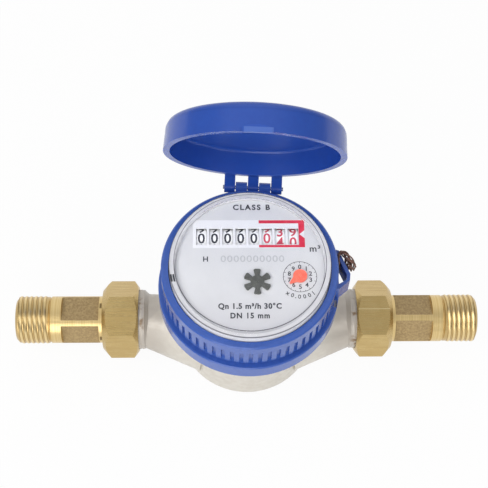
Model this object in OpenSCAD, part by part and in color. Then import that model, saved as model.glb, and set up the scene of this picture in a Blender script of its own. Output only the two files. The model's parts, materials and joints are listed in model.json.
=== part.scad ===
// Single-jet dry-dial water meter with a hinged lid and two union couplings.
// Millimetres. The origin is the centre of the flat base, +X runs along the flow,
// +Y points to the lid hinge and +Z is up.

/* [Body] */
// Length of the body between its two spud faces
body_len = 115; // [110:1:130]
// Height of the pipe axis above the base
axis_h = 18; // [17.5:0.5:21]
// Wall of the bowl at its widest bore
bowl_wall = 3.7; // [3:0.1:4.5]
// Fillet between bowl and base
bowl_fillet = 6; // [3:0.5:8]
// Height of the body rim that the register stands on
rim_h = 49.5; // [49:0.1:50]
// Radius of the measuring chamber
chamber_r = 20; // [18:0.1:22]
// Thickness of the chamber floor
floor_t = 6; // [4.5:0.1:7]
// Height of the magnet space over the measuring chamber
magnet_room = 12.5; // [11.5:0.1:14]
// Major radius of the spud thread
spud_r = 13.2; // [12.8:0.1:13.4]
// Length of the spud from its face to its shoulder
spud_len = 12.2; // [11.5:0.1:13]
// Radius of the water bore in the spuds
spud_bore_r = 8; // [7.6:0.1:8.4]
// Radius of the jet that meets the impeller
jet_r = 5.5; // [4:0.1:6.5]

/* [Couplings] */
// Wall of the union nut at its flats
nut_side = 1.8; // [1.4:0.1:2.4]
// Length of the union nut
nut_len = 16; // [15:0.1:17]
// Thickness of the nut's end wall
nut_wall = 2.7; // [2.4:0.1:3.2]
// Length of the long chamfer on the outer end of the nut
nut_chamfer = 3.5; // [2.5:0.1:4]
// Turn of both nuts on the pipe axis
nut_turn = -10.7; // [-30:0.1:30]
// Thickness of the flat gasket
gasket_t = 2; // [1.5:0.1:2.5]
// Thickness of the tailpiece flange
tail_flange_t = 2.2; // [2:0.1:2.6]
// Outer radius of the tailpiece
tail_r = 10.48; // [10.3:0.01:10.6]
// Radius of the water bore in the tailpiece
tail_bore_r = 6.5; // [6:0.1:7]
// Length of the tailpiece outside its flange
tail_len = 41.3; // [40:0.1:45]
// Length of the pipe thread
tail_thread_len = 14.9; // [14:0.1:16]
// Distance of the cast wrench flats from the pipe axis
tail_flat = 8.35; // [8.1:0.05:8.8]
// Length of the cast wrench flats
tail_flat_len = 16.7; // [12:0.1:17]
// Turn of the inlet tailpiece on the pipe axis
inlet_tail_turn = 33.6; // [0:0.1:90]
// Turn of the outlet tailpiece on the pipe axis
outlet_tail_turn = 23.5; // [0:0.1:90]

/* [Cover ring and lid] */
// Turn of the cover ring about the meter axis
ring_turn = -3; // [-10:0.5:10]
// Outer radius of the ring's bezel and of the lid
bezel_r = 37; // [36.9:0.05:37.4]
// Distance of the body's rim thread inside the bezel
rim_inset = 1.3; // [1.2:0.05:1.6]
// Height of the ring's top face above the body rim
ring_rise = 21; // [20:0.1:23]
// Thickness of the lip that holds the lens down
lip_t = 3.2; // [2.8:0.1:3.4]
// Width of the ledge on top of the ring's skirt
skirt_step = 1.65; // [1.4:0.05:2.5]
// Height of the ledge above the body rim
ledge_rise = 3.9; // [3.5:0.1:5]
// Reach of the skirt below the body rim
skirt_drop = 4.2; // [3:0.1:5]
// Number of grip ribs around the ring
rib_count = 60; // [48:2:72]
// Width of a grip rib
rib_w = 2.2; // [1.6:0.1:2.4]
// Height of the plain band above the ribs
band_h = 4.8; // [4.5:0.1:6]
// Length of a grip rib with its round end
rib_len = 9.7; // [8:0.1:10]
// Depth of the grooves between the ribs
rib_depth = 0.9; // [0.6:0.05:1]
// Depth of the lid from rim to top
lid_depth = 12.4; // [11.5:0.1:13.5]
// Thickness of the lid's wall at its rim
lid_wall = 2.6; // [2.2:0.1:2.8]
// Rounding of the lid's top edge
lid_round = 3.2; // [2:0.1:4]
// Opening angle of the lid as it stands
lid_open = 72.3; // [0:0.1:100]
// Distance of the hinge pin outside the bezel
hinge_out = 3.2; // [3:0.1:4]
// Height of the hinge pin below the ring's top face
hinge_drop = 4; // [3.6:0.1:4.4]
// Radius of the hinge pin
pin_r = 0.9; // [0.7:0.05:1]
// Width of each lid strap
strap_w = 4.6; // [4:0.1:5]
// Width of each ring knuckle
knuckle_w = 4.9; // [4.4:0.1:5.2]

/* [Register] */
// Thickness of the separator plate over the wet chamber
separator_t = 4; // [3.5:0.1:4.5]
// Wall thickness of the register case
case_wall = 1.4; // [1.2:0.1:1.6]
// Floor thickness of the register case
case_floor = 1.2; // [1:0.1:1.4]
// Height of the lens above the ring's top face
lens_rise = 5.5; // [5:0.1:6]
// Distance of the lens wall inside the bezel
lens_inset = 3.4; // [3.2:0.1:4]
// Width and height of the bevel round the lens
lens_bevel = 2.2; // [1.5:0.1:2.5]
// Thickness of the lens
lens_t = 1.9; // [1.6:0.1:2.1]
// Thickness of the dial plate
dial_t = 0.8; // [0.6:0.1:1]
// Gap between the dial and the lens above it
dial_gap = 3.1; // [2.8:0.1:3.4]

/* [Counter] */
// Radius of the counting drums
drum_r = 8; // [7.8:0.1:8.1]
// Gap between the number bands
drum_gap = 1.4; // [1.4:0.05:1.7]
// Distance of the drum axis behind the meter axis
drum_y = 14; // [13.8:0.1:14.2]
// Height of the dial window
window_h = 7.8; // [7:0.1:8]

/* [Gear train] */
// Module of the arbor gears
gear_m = 0.5; // [0.48:0.01:0.5]
// Teeth on each arbor pinion
pinion_n = 10; // [10:1:11]
// Teeth on the star arbor's wheel
star_n = 22; // [20:1:24]
// Teeth on the idler's and the pointer's wheel
wheel_n = 30; // [28:1:31]
// Direction from the meter axis to the star
star_dir = -68.6; // [-80:0.2:-60]
// Spread of the star and the pointer, in axle distances of their gears
pointer_spread = 1.768; // [1.6:0.01:1.9]
// Module of the gears between pointer and worm
worm_gear_m = 0.74; // [0.73:0.005:0.75]
// Pitch radius of the worm
worm_r = 3; // [2.8:0.05:3.1]
// Pitch radius of the wheel that the worm turns
wheel_r = 5.5; // [5.2:0.1:5.8]
// Distance of the carry shaft's axis outside the drums
carry_out = 1.1; // [1:0.05:1.3]
// Radius of the star indicator
star_r = 5.75; // [5:0.05:6]
// Length of the pointer from its axis to its tip
pointer_len = 5.4; // [4:0.1:6]

/* [Hidden] */
$fn = 96;
eps = 0.01;
run_fit = 0.05;
clear = 0.3;
seat = 0.03;

// Pipe line, distances from the meter axis
half_len = body_len / 2;
nut_af = 2 * (spud_r + nut_side);
shoulder_x = half_len - spud_len;
flange_x = half_len + gasket_t;
nut_seat_x = flange_x + tail_flange_t;
nut_out_x = nut_seat_x + nut_wall + seat;
nut_in_x = nut_out_x - nut_len;
tail_end_x = nut_seat_x + tail_len;
thread_x = tail_end_x - tail_thread_len;
thread_r = tail_r - 0.2;
tail_collar = 5.3;
flat_end_x = thread_x - tail_collar;
flat_start_x = flat_end_x - tail_flat_len;
neck_r = spud_r - 1.8;
arm_x = 18;
arm_r = neck_r + 0.2 * (shoulder_x - arm_x);
arm_y = -1.3 - 0.182 * (shoulder_x - arm_x);
arm_drop = 0.6 + 0.073 * (shoulder_x - arm_x);
jet_offset = chamber_r - 7;
jet_end_x = chamber_r / 2;
strainer_len = 16;
spud_bore_x = half_len - strainer_len - 3.5;
jet_start_x = spud_bore_x + 4;
strainer_lip = 1.5;

// Heights of the wet side
separator_low = rim_h - separator_t;
chamber_top = separator_low - magnet_room;
cover_t = 2.5;
rim_r = bezel_r - rim_inset;
separator_r = rim_r - 3.9;
oring_r = 1;
oring_mid_r = separator_r - 2.3;
mid_bore_r = oring_mid_r - 3;
bowl_r = mid_bore_r + bowl_wall;
flare_low = rim_h - 12;
flare_top = rim_h - 6.5;
pivot_r = 0.75;
pivot_sink = 2;
pivot_top = floor_t + 4;
impeller_r = chamber_r - 2;
impeller_low = floor_t + 1.5;
vane_low = floor_t + 4;
vane_top = chamber_top - 4;
magnet_r = 9;
magnet_t = 3.2;
magnet_top = separator_low - 1.3;
stub_top = separator_low + 0.8;

// Ring, lens and case, from outside to inside
ring_top = rim_h + ring_rise;
skirt_r = bezel_r + skirt_step;
skirt_top = rim_h + ledge_rise;
skirt_low = rim_h - skirt_drop;
groove_r = bezel_r - rib_depth;
ring_bore_r = groove_r - 1.2;
thread_bore_r = rim_r + clear;
thread_top = skirt_top - 2;
lip_low = ring_top - lip_t;
lens_r = bezel_r - lens_inset;
lip_r = lens_r + clear;
band_low = ring_top - band_h;
lens_flange_r = ring_bore_r - clear;
lens_flange_t = 1.8;
lens_low = lip_low - lens_flange_t;
lens_top = ring_top + lens_rise;
lens_in_r = lens_r - 1.7;
gasket_seal_t = 0.8;
case_top = lens_low - gasket_seal_t;
case_r = lens_flange_r - 0.2;
case_in_r = case_r - case_wall;
case_floor_top = rim_h + case_floor;

// Hinge and lid, before the ring's turn
hinge_y = bezel_r + hinge_out;
hinge_z = ring_top - hinge_drop;
lid_low = ring_top + clear;
lid_top = lid_low + lid_depth;
lid_in_r = bezel_r - lid_wall;
lid_draft = 0.8;
lid_fillet = 1.4;
eye_r = pin_r + 1.5;
hinge_gap = 0.3;
hinge_pitch = (strap_w + knuckle_w) / 2 + hinge_gap;
hinge_w = 3 * strap_w + 2 * knuckle_w + 4 * hinge_gap;

// Seal lug on the ring, in plan before the ring's turn
lug_low = skirt_top;
lug_top = skirt_top + 8.6;
lug_wall = 1.3;
lug_back = [bezel_r - 0.6, 14.2];
lug_tip = [bezel_r + 5.6, 3];
lug_nose = [bezel_r + 5.4, 0];
lug_front = [bezel_r - 0.2, -4.2];
wire_r = 0.9;

// Register heights
dial_top = lens_top - lens_t - dial_gap;
dial_low = dial_top - dial_t;
dial_r = lens_in_r - 0.7;
bridge_t = 1.2;
bridge_top = dial_low - 2.7;
bridge_low = bridge_top - bridge_t;
bridge_r = lens_in_r - 0.9;
bridge_edge = drum_y - drum_r - 2;
leg_r = 1.3;
leg_ring_r = bridge_r - 2.5;
leg_places = [for (a = [187, 240, 300]) polar(leg_ring_r, a)];

// Drums, the worm that turns the first one and the carry gears
drum_count = 8;
drum_z = dial_top - 0.7 - drum_r;
drum_bore_r = 0.85;
drum_shaft_r = drum_bore_r - run_fit;
hub_r = 1.8;
gear_w = 0.55;
carry_w = 0.7;
carry_n = 20;
carry_pinion_n = 8;
carry_disc_r = 5.4;
carry_gap = drum_r + carry_out;
carry_m = 2 * carry_gap / (carry_n + carry_pinion_n);
carry_dir = -40;
carry_y = drum_y + carry_gap * cos(carry_dir);
carry_z = drum_z + carry_gap * sin(carry_dir);
carry_shaft_r = 0.6;
worm_wheel_n = 20;
worm_wheel_w = 2.2;
worm_depth = 0.5;
worm_lead = 2 * PI * wheel_r / worm_wheel_n;
worm_turns = 3.5;
worm_turns_below = 2;

// The row of drums fills the chord of the case behind the meter axis
frame_t = 1.2;
cheek_d = 5;
tab_y = carry_y + 1.1;
right_reach = case_in_r - 1.36;
left_reach = case_in_r - 0.4;
cheek_right = sqrt(right_reach * right_reach - (drum_y + cheek_d / 2) * (drum_y + cheek_d / 2)) - frame_t;
cheek_left = -sqrt(left_reach * left_reach - tab_y * tab_y);
worm_x = cheek_right - 0.5 - worm_wheel_w / 2;
row_right = worm_x - worm_r - worm_depth - clear;
row_left = cheek_left + frame_t + 0.6;
drum_pitch = (row_right - row_left + drum_gap) / drum_count;
band_w = drum_pitch - drum_gap;
drum_right = row_right - band_w / 2;
drum_left = row_left + band_w / 2;
carry_tab_x = drum_right - drum_pitch / 2 + 1.2;

// Arbors, from the meter axis to the worm
axle_r = 0.5;
boss_t = 0.6;
axle_low = case_floor_top - 0.3;
axle_top = bridge_top - 0.2;
star_at = (pinion_n + star_n) * gear_m / 2 * [cos(star_dir), sin(star_dir)];
train_gap = (pinion_n + wheel_n) * gear_m / 2;
worm_drive_n = 10;
pointer_drive_n = 20;
worm_reach = (worm_drive_n + pointer_drive_n) * worm_gear_m / 2;
worm_at = [worm_x, drum_y - wheel_r - worm_r];
pointer_x = star_at.x + pointer_spread * train_gap;
worm_side = worm_x - pointer_x;
pointer_at = [pointer_x, worm_at.y - sqrt(worm_reach * worm_reach - worm_side * worm_side)];
star_to_pointer = pointer_at - star_at;
train_dir = atan2(star_to_pointer.y, star_to_pointer.x);
train_half = norm(star_to_pointer) / 2;
train_side = sqrt(train_gap * train_gap - train_half * train_half);
idler_at = star_at + polar(train_half, train_dir) + polar(train_side, train_dir - 90);
level_h = 1.4;
level_gap = 0.8;
level_low = case_floor_top + boss_t + 0.3;
level = [for (i = [0:3]) level_low + i * (level_h + level_gap) + (i > 0 ? 0.4 : 0)];
driven_magnet_r = 5.8;
driven_magnet_t = 2.2;

function drum_x(k) = drum_right - (k - 1) * drum_pitch;
function polar(r, a) = r * [cos(a), sin(a)];
function dir_to(from, to) = atan2(to.y - from.y, to.x - from.x);

// Places its children on the pipe: local z runs outwards, local x points up
module on_pipe(side) {
  translate([0, 0, axis_h])
    mirror([side < 0 ? 1 : 0, 0, 0])
      rotate([0, 90, 0])
        rotate([0, 0, 180])
          children();
}

// A round bar or cone between two points
module bar(from, to, r1, r2) {
  run = to - from;
  translate(from)
    rotate([0, acos(run.z / norm(run)), atan2(run.y, run.x)])
      cylinder(h = norm(run), r1 = r1, r2 = r2);
}

// A tube on the z axis
module tube(outer, inner, low, top) {
  translate([0, 0, low])
    difference() {
      cylinder(h = top - low, r = outer);
      translate([0, 0, -eps])
        cylinder(h = top - low + 2 * eps, r = inner);
    }
}

// Cuts a round outer corner of radius r at the given corner of a half section
module round_corner(corner, r) {
  difference() {
    translate([corner.x - r, corner.y - r])
      square([r + 1, r + 1]);
    translate([corner.x - r, corner.y - r])
      circle(r = r);
  }
}

// Involute teeth: half a tooth's angle at one radius, with backlash taken off
tooth_addendum = 0.85;
tooth_dedendum = 1.25;
tooth_backlash = 0.14;
function involute(a) = tan(a) * 180 / PI - a;
function tooth_half(n, m, at_r) =
  let (r = n * m / 2, base = r * cos(20))
  90 / n - tooth_backlash / r * 90 / PI + involute(20) - involute(acos(base / max(at_r, base)));
function gear_points(n, m) =
  let (r = n * m / 2, radii = [r - tooth_dedendum * m, r, r + tooth_addendum * m])
  [for (k = [0:n - 1]) each concat(
    [for (i = [0:2]) polar(radii[i], 360 * k / n - tooth_half(n, m, radii[i]))],
    [for (i = [2:-1:0]) polar(radii[i], 360 * k / n + tooth_half(n, m, radii[i]))])];

// A gear with a tooth that points in the direction dir
module gear_tooth_at(n, m, h, dir) {
  rotate([0, 0, dir])
    linear_extrude(height = h)
      polygon(gear_points(n, m));
}

// A gear with a gap that points in the direction dir
module gear_gap_at(n, m, h, dir) {
  gear_tooth_at(n, m, h, dir + 180 / n);
}

module arbor_axle(low, top) {
  translate([0, 0, low])
    cylinder(h = top - low, r = axle_r);
}

// Cast brass body with bowl, two arms, spuds and threaded rim
module body_bowl() {
  rotate_extrude() {
    difference() {
      polygon([[0, 0], [bowl_r, 0], [bowl_r, flare_low], [rim_r, flare_top],
               [rim_r, rim_h - 0.6], [rim_r - 0.6, rim_h], [0, rim_h]]);
      mirror([0, 1])
        round_corner([bowl_r, 0], bowl_fillet);
    }
  }
}

module body_spud() {
  rotate_extrude()
    polygon([[0, arm_x], [neck_r - 1, arm_x], [neck_r, shoulder_x - 1.3], [spud_r - 0.6, shoulder_x],
             [spud_r, shoulder_x + 0.6], [spud_r, half_len - 0.8], [spud_r - 0.8, half_len], [0, half_len]]);
}

module body_arm(side) {
  bar([side * (shoulder_x - 1.3), -1.3, axis_h - 0.6], [side * arm_x, arm_y, axis_h - arm_drop],
      neck_r, arm_r);
}

module body_hollows() {
  translate([0, 0, floor_t])
    cylinder(h = rim_h, r = chamber_r);
  translate([0, 0, chamber_top])
    cylinder(h = rim_h, r = mid_bore_r);
  translate([0, 0, separator_low])
    cylinder(h = rim_h, r = separator_r);
  tube(oring_mid_r + 1.3, oring_mid_r - 1.3, separator_low - 2 * oring_r, separator_low + 1);
  translate([0, 0, floor_t - pivot_sink])
    cylinder(h = 4, r = pivot_r);
  for (side = [-1, 1]) {
    on_pipe(side)
      translate([0, 0, spud_bore_x])
        cylinder(h = body_len, r = spud_bore_r);
    bar([side * jet_start_x, 0, axis_h], [side * jet_end_x, -jet_offset, axis_h], jet_r, jet_r);
  }
  on_pipe(-1)
    translate([0, 0, half_len - strainer_lip])
      cylinder(h = 5, r = spud_bore_r + 1);
}

module meter_body() {
  color([0.84, 0.83, 0.78])
    difference() {
      union() {
        body_bowl();
        for (side = [-1, 1]) {
          on_pipe(side)
            body_spud();
          body_arm(side);
        }
      }
      body_hollows();
      translate([0, 0, -20])
        cylinder(h = 20, r = body_len);
    }
}

// Plastic basket that keeps grit out of the inlet
module strainer() {
  basket_r = spud_bore_r - 0.4;
  hole_r = 0.8;
  color([0.92, 0.92, 0.9])
    on_pipe(-1)
      difference() {
        union() {
          translate([0, 0, half_len - strainer_lip])
            cylinder(h = strainer_lip, r = spud_bore_r + 1 - run_fit);
          translate([0, 0, half_len - strainer_len])
            cylinder(h = strainer_len, r = basket_r);
        }
        translate([0, 0, half_len - strainer_len + 1.2])
          cylinder(h = strainer_len, r = basket_r - 0.8);
        for (ring = [0:2])
          for (k = [0:max(0, 6 * ring - 1)])
            translate([2.5 * ring * cos(60 * k / max(1, ring)), 2.5 * ring * sin(60 * k / max(1, ring)),
                       half_len - strainer_len - 1])
              cylinder(h = 4, r = hole_r, $fn = 24);
      }
}

// Flat rubber gasket between spud and tailpiece
module coupling_gasket(side) {
  color([0.13, 0.13, 0.13])
    on_pipe(side)
      tube(spud_r - 0.6, tail_bore_r + 0.4, half_len, flange_x);
}

module inlet_gasket() coupling_gasket(-1);
module outlet_gasket() coupling_gasket(1);

// Brass tailpiece: flange, collar, cast square for a wrench, pipe thread
module tailpiece(side, turn) {
  color([0.78, 0.66, 0.4])
    on_pipe(side)
      rotate([0, 0, turn])
        difference() {
          rotate_extrude()
            polygon([[tail_bore_r, flange_x], [spud_r - 0.3, flange_x], [spud_r - 0.3, nut_seat_x],
                     [tail_r, nut_seat_x], [tail_r, thread_x - 0.6], [tail_r - 0.6, thread_x - 0.2],
                     [tail_r - 0.6, thread_x], [thread_r, thread_x + 0.4], [thread_r, tail_end_x - 1.2],
                     [tail_r - 1.5, tail_end_x], [tail_bore_r + 0.5, tail_end_x],
                     [tail_bore_r, tail_end_x - 0.5]]);
          for (a = [45:90:315])
            rotate([0, 0, a])
              translate([tail_flat, -tail_r, flat_start_x])
                cube([tail_r, 2 * tail_r, tail_flat_len]);
        }
}

module inlet_tailpiece() tailpiece(-1, inlet_tail_turn);
module outlet_tailpiece() tailpiece(1, outlet_tail_turn);

// Brass union nut, a hexagon turned at both ends
module union_nut(side) {
  corner_r = nut_af / sqrt(3);
  color([0.75, 0.62, 0.36])
    on_pipe(side)
      rotate([0, 0, nut_turn])
        difference() {
          intersection() {
            translate([0, 0, nut_in_x])
              cylinder(h = nut_len, r = corner_r, $fn = 6);
            rotate_extrude()
              polygon([[0, nut_in_x], [corner_r - 3, nut_in_x], [corner_r, nut_in_x + 2.2],
                       [corner_r, nut_out_x - nut_chamfer], [corner_r - 4, nut_out_x], [0, nut_out_x]]);
          }
          translate([0, 0, nut_in_x - 1])
            cylinder(h = nut_seat_x + seat - nut_in_x + 1, r = spud_r + 0.25);
          translate([0, 0, nut_in_x])
            cylinder(h = nut_len + 1, r = tail_r + 0.3);
        }
}

module inlet_nut() union_nut(-1);
module outlet_nut() union_nut(1);

// Steel pin in the chamber floor that carries the impeller
module impeller_pivot() {
  color([0.7, 0.72, 0.74])
    translate([0, 0, floor_t - pivot_sink])
      cylinder(h = pivot_top - floor_t + pivot_sink - 0.1, r = pivot_r);
}

// Plastic impeller with eight straight vanes and a magnet carrier on its neck
module impeller() {
  hub = 3.2;
  carrier_low = magnet_top - magnet_t - 2;
  color([0.9, 0.9, 0.86])
    difference() {
      union() {
        translate([0, 0, impeller_low])
          cylinder(h = carrier_low - impeller_low + eps, r = hub);
        translate([0, 0, carrier_low])
          cylinder(h = 2, r = magnet_r);
        translate([0, 0, carrier_low])
          cylinder(h = magnet_top - carrier_low, r = hub);
        translate([0, 0, carrier_low])
          cylinder(h = stub_top - carrier_low, r = 1);
        for (k = [0:7])
          rotate([0, 0, 45 * k])
            translate([0, -0.6, vane_low])
              cube([impeller_r, 1.2, vane_top - vane_low]);
      }
      translate([0, 0, impeller_low - 1])
        cylinder(h = pivot_top - impeller_low + 1, r = pivot_r + run_fit);
    }
}

// Ring magnet on the impeller
module drive_magnet() {
  color([0.22, 0.22, 0.24])
    tube(magnet_r, 3.2 + run_fit, magnet_top - magnet_t, magnet_top);
}

// Ribbed plate that closes the measuring chamber
module chamber_cover() {
  color([0.86, 0.86, 0.82])
    difference() {
      union() {
        translate([0, 0, chamber_top])
          cylinder(h = cover_t, r = mid_bore_r - 0.2);
        for (k = [0:5])
          rotate([0, 0, 60 * k + 30])
            translate([6, -0.75, chamber_top - 1.6])
              cube([chamber_r - 7, 1.5, 1.6 + eps]);
      }
      translate([0, 0, chamber_top - 2])
        cylinder(h = cover_t + 3, r = 4);
    }
}

// Pressure plate between the water and the dry register
module separator_plate() {
  color([0.8, 0.82, 0.84])
    difference() {
      translate([0, 0, separator_low])
        cylinder(h = separator_t, r = separator_r - 0.15);
      translate([0, 0, separator_low - 1])
        cylinder(h = stub_top - separator_low + 1.2, r = 1 + run_fit);
    }
}

// Rubber ring that seals the pressure plate in the body
module separator_seal() {
  color([0.12, 0.12, 0.12])
    rotate_extrude()
      translate([oring_mid_r, separator_low - oring_r])
        circle(r = oring_r - seat, $fn = 48);
}

// Plastic can of the dry register, with bosses for the arbors
module register_case() {
  color([0.88, 0.88, 0.86])
    difference() {
      union() {
        tube(case_r, case_in_r, rim_h, case_top);
        translate([0, 0, rim_h])
          cylinder(h = case_floor, r = case_r);
        for (p = [[0, 0], star_at, idler_at, pointer_at, worm_at])
          translate([p.x, p.y, rim_h])
            cylinder(h = case_floor + boss_t, r = 1.4, $fn = 32);
      }
      for (p = [[0, 0], star_at, idler_at, pointer_at, worm_at])
        translate([p.x, p.y, axle_low - 0.1])
          cylinder(h = 5, r = axle_r + run_fit, $fn = 32);
    }
}

// Magnet that follows the impeller through the pressure plate
module driven_magnet() {
  color([0.2, 0.2, 0.22])
    tube(driven_magnet_r, 2 + run_fit, level_low, level_low + driven_magnet_t);
}

// First arbor, turned by the magnet
module magnet_arbor() {
  color([0.93, 0.93, 0.9]) {
    arbor_axle(axle_low, axle_top);
    translate([0, 0, level_low])
      cylinder(h = level[3] - level_low + eps, r = 2 - eps);
    translate([0, 0, level[3]])
      gear_tooth_at(pinion_n, gear_m, level_h + 0.4, star_dir);
  }
}

// Second arbor, which carries the star above the dial
module star_arbor() {
  star_run = dial_top + 0.3;
  color([0.93, 0.93, 0.9])
    translate([star_at.x, star_at.y, 0]) {
      arbor_axle(axle_low, star_run + 0.9);
      translate([0, 0, level[3] + 0.2])
        gear_gap_at(star_n, gear_m, level_h - 0.2, star_dir + 180);
      translate([0, 0, level[2] - 0.2])
        gear_tooth_at(pinion_n, gear_m, level[3] - level[2] + 0.5, dir_to(star_at, idler_at));
    }
}

// Third arbor between star and pointer
module idler_arbor() {
  color([0.93, 0.93, 0.9])
    translate([idler_at.x, idler_at.y, 0]) {
      arbor_axle(axle_low, axle_top);
      translate([0, 0, level[2]])
        gear_gap_at(wheel_n, gear_m, level_h, dir_to(idler_at, star_at));
      translate([0, 0, level[1] - 0.2])
        gear_tooth_at(pinion_n, gear_m, level[2] - level[1] + 0.3, dir_to(idler_at, pointer_at));
    }
}

// Fourth arbor, which carries the pointer above the dial
module pointer_arbor() {
  color([0.93, 0.93, 0.9])
    translate([pointer_at.x, pointer_at.y, 0]) {
      arbor_axle(axle_low, dial_top + 1.2);
      translate([0, 0, level[1]])
        gear_gap_at(wheel_n, gear_m, level_h, dir_to(pointer_at, idler_at));
      translate([0, 0, level[0]])
        gear_tooth_at(pointer_drive_n, worm_gear_m, level_h, dir_to(pointer_at, worm_at));
      translate([0, 0, level[0]])
        cylinder(h = level[1] - level[0] + 0.2, r = 1.4, $fn = 32);
    }
}

// Upright worm that turns the lowest drum
module worm_arbor() {
  worm_low = drum_z - worm_turns_below * worm_lead;
  worm_points = [for (a = [0:18:342]) polar(worm_r + worm_depth * cos(a), a)];
  color([0.93, 0.93, 0.9])
    translate([worm_at.x, worm_at.y, 0]) {
      arbor_axle(axle_low, axle_top);
      translate([0, 0, level[0] - 0.2])
        gear_gap_at(worm_drive_n, worm_gear_m, level_h + 0.4, dir_to(worm_at, pointer_at));
      translate([0, 0, worm_low])
        rotate([0, 0, 90])
          linear_extrude(height = worm_turns * worm_lead, twist = 360 * worm_turns,
                         slices = 12 * worm_turns, segments = len(worm_points))
            polygon(worm_points);
    }
}

// Plate over the arbors, with its legs and the posts under the dial
module bridge_plate() {
  color([0.9, 0.9, 0.87])
    difference() {
      union() {
        translate([0, 0, bridge_low])
          linear_extrude(height = bridge_t)
            union() {
              intersection() {
                circle(r = bridge_r);
                translate([-bridge_r, -bridge_r])
                  square([2 * bridge_r, bridge_r + bridge_edge]);
              }
              translate(worm_at)
                circle(r = 2, $fn = 48);
            }
        for (p = leg_places)
          translate([p.x, p.y, case_floor_top])
            cylinder(h = dial_low - case_floor_top, r = leg_r, $fn = 48);
      }
      for (p = [[0, 0], star_at, idler_at, pointer_at, worm_at])
        translate([p.x, p.y, bridge_low - 1])
          cylinder(h = bridge_t + 2, r = axle_r + run_fit, $fn = 32);
    }
}

// Bracket with two cheeks that holds the drums and the carry shaft
module drum_frame() {
  base_low = case_floor_top;
  base_y = drum_y - 3.6;
  base_d = 6.4;
  color([0.86, 0.86, 0.83])
    difference() {
      union() {
        translate([cheek_left, base_y, base_low])
          cube([cheek_right + frame_t - cheek_left, base_d, frame_t]);
        for (x = [cheek_left, cheek_right])
          translate([x, drum_y - cheek_d / 2, base_low])
            cube([frame_t, cheek_d, dial_low - base_low]);
        for (x = [cheek_left, carry_tab_x])
          translate([x, drum_y, base_low])
            cube([frame_t, tab_y - drum_y, carry_z + 1.2 - base_low]);
      }
      translate([carry_tab_x - 1, drum_y, drum_z])
        rotate([0, 90, 0])
          cylinder(h = frame_t + 2, r = drum_r + 0.2);
      translate([-case_r, drum_y, drum_z])
        rotate([0, 90, 0])
          cylinder(h = 2 * case_r, r = drum_shaft_r + run_fit, $fn = 48);
      translate([-case_r, carry_y, carry_z])
        rotate([0, 90, 0])
          cylinder(h = 2 * case_r, r = carry_shaft_r + run_fit, $fn = 48);
    }
}

// Steel rods through the drums and through the carry pinions
module cross_rod(from, to, y, z, r) {
  color([0.75, 0.76, 0.78])
    translate([from, y, z])
      rotate([0, 90, 0])
        cylinder(h = to - from, r = r, $fn = 48);
}

module drum_shaft() cross_rod(cheek_left, cheek_right + frame_t, drum_y, drum_z, drum_shaft_r);
module carry_shaft() cross_rod(cheek_left, carry_tab_x + frame_t, carry_y, carry_z, carry_shaft_r);

// Places a drum part: local z runs towards the next higher drum, local x points up
module on_drum(k) {
  translate([drum_x(k), drum_y, drum_z])
    rotate([0, -90, 0])
      children();
}

// Numbered drum: band, web and hub, driven wheel on its right, carry disc on its left
module number_drum(k) {
  half = band_w / 2;
  color(k <= 3 ? [0.95, 0.93, 0.93] : [0.94, 0.94, 0.94])
    on_drum(k)
      difference() {
        union() {
          tube(drum_r, drum_r - 0.9, -half, half);
          translate([0, 0, -half])
            cylinder(h = 1, r = drum_r - 0.5);
          translate([0, 0, half - 1])
            cylinder(h = 1, r = drum_r - 0.5);
          translate([0, 0, -half])
            cylinder(h = band_w, r = hub_r, $fn = 48);
          if (k < drum_count)
            translate([0, 0, half - eps])
              carry_disc();
          if (k > 1)
            translate([0, 0, -half - gear_w])
              gear_gap_at(carry_n, carry_m, gear_w + eps, 180 - carry_dir - 90);
          else
            worm_wheel();
        }
        translate([0, 0, drum_right - cheek_right])
          cylinder(h = cheek_right - cheek_left, r = drum_bore_r, $fn = 48);
      }
}

// Disc with the two carry teeth, kept clear of the pinion by their short length
module carry_disc() {
  cylinder(h = carry_w, r = carry_disc_r - 0.8);
  for (a = [-14, 14])
    rotate([0, 0, a])
      translate([0, -0.45, 0])
        cube([carry_disc_r, 0.9, carry_w]);
}

// Straight-toothed wheel that the worm turns, moulded on the lowest drum
module worm_wheel() {
  far = worm_x - drum_right + worm_wheel_w / 2;
  half_root = 0.55;
  half_tip = 0.16;
  tip_r = wheel_r + worm_depth - 0.12;
  root_r = wheel_r - worm_depth - 0.25;
  points = [for (k = [0:worm_wheel_n - 1]) each [
    polar(root_r, 360 * (k - half_root / 2) / worm_wheel_n),
    polar(tip_r, 360 * (k - half_tip / 2) / worm_wheel_n),
    polar(tip_r, 360 * (k + half_tip / 2) / worm_wheel_n),
    polar(root_r, 360 * (k + half_root / 2) / worm_wheel_n)]];
  translate([0, 0, -far])
    linear_extrude(height = worm_wheel_w)
      rotate(90 + 180 / worm_wheel_n)
        polygon(points);
  translate([0, 0, -far])
    cylinder(h = far, r = 3.2, $fn = 48);
}

// Small pinion that carries one drum on to the next
module carry_pinion(k) {
  gap = drum_pitch - band_w;
  length = gap - 0.3;
  color([0.9, 0.9, 0.87])
    translate([drum_x(k) - drum_pitch / 2, carry_y, carry_z])
      rotate([0, -90, 0])
        translate([0, 0, -length / 2])
          difference() {
            gear_tooth_at(carry_pinion_n, carry_m, length, 180 - carry_dir + 90);
            translate([0, 0, -1])
              cylinder(h = length + 2, r = carry_shaft_r + run_fit, $fn = 48);
          }
}

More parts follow.
